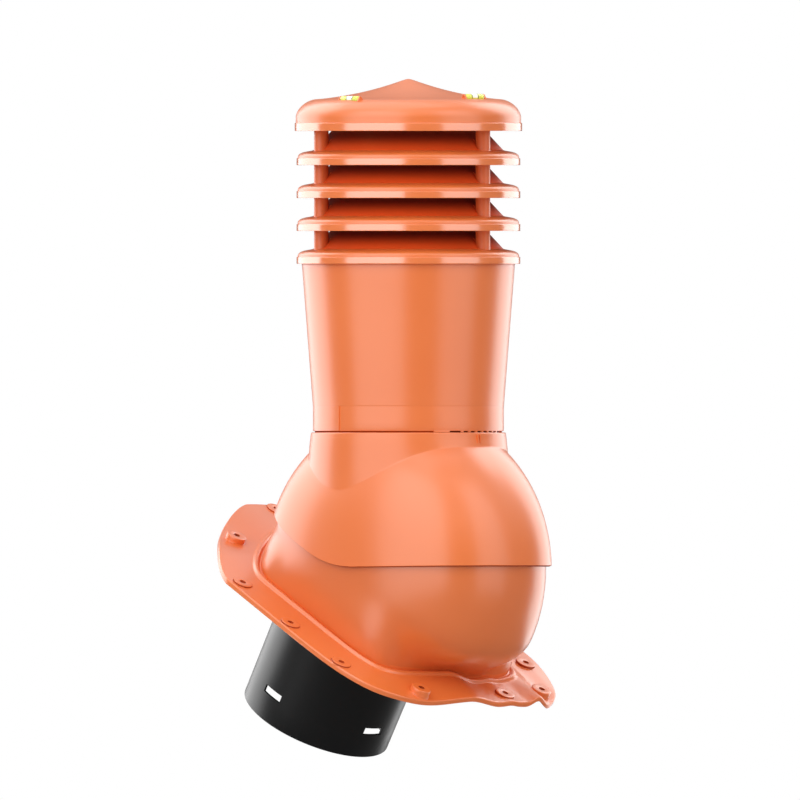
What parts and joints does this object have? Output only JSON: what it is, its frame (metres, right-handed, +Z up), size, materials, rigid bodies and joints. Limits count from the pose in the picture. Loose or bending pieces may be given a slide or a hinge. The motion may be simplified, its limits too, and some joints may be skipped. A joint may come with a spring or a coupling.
{
  "type": "roof ventilation chimney",
  "caption": "Ventilation chimney for a pitched roof: louvred head on a tapering casing and a tilting hood, over a flange shaped to the tiles with a round duct spigot below.",
  "frame": {"origin": "where the duct's axis crosses the roof surface that the flange lies on", "axes": "+Z up; -Y down the roof's slope; +X to the right, seen from below the slope; the roof surface passes through the origin and falls 30 degrees towards -Y"},
  "size_m": [0.2928, 0.3771, 0.6581],
  "materials": {
    "terracotta_plastic": "semi-gloss moulded polypropylene, terracotta orange all through",
    "black_plastic": "fine satin moulded polypropylene, black",
    "level_fluid": "clear acrylic vial filled with yellow-green fluid"
  },
  "bodies": {
    "base": {"roof_base": "terracotta_plastic", "duct_spigot": "black_plastic"},
    "head": {"hood": "terracotta_plastic", "casing_tube": "terracotta_plastic", "louvre_ring_1": "terracotta_plastic", "louvre_ring_2": "terracotta_plastic", "louvre_ring_3": "terracotta_plastic", "louvre_ring_4": "terracotta_plastic", "cap": "terracotta_plastic", "spirit_level_side": "level_fluid", "spirit_level_front": "level_fluid"}
  },
  "joints": [
    {"name": "hood_tilt", "type": "hinge", "parent": "base", "child": "head", "pos_m": [0, -0.06475, 0.0379], "axis": [1, 0, 0], "range_deg": [-4, 20]}
  ]
}
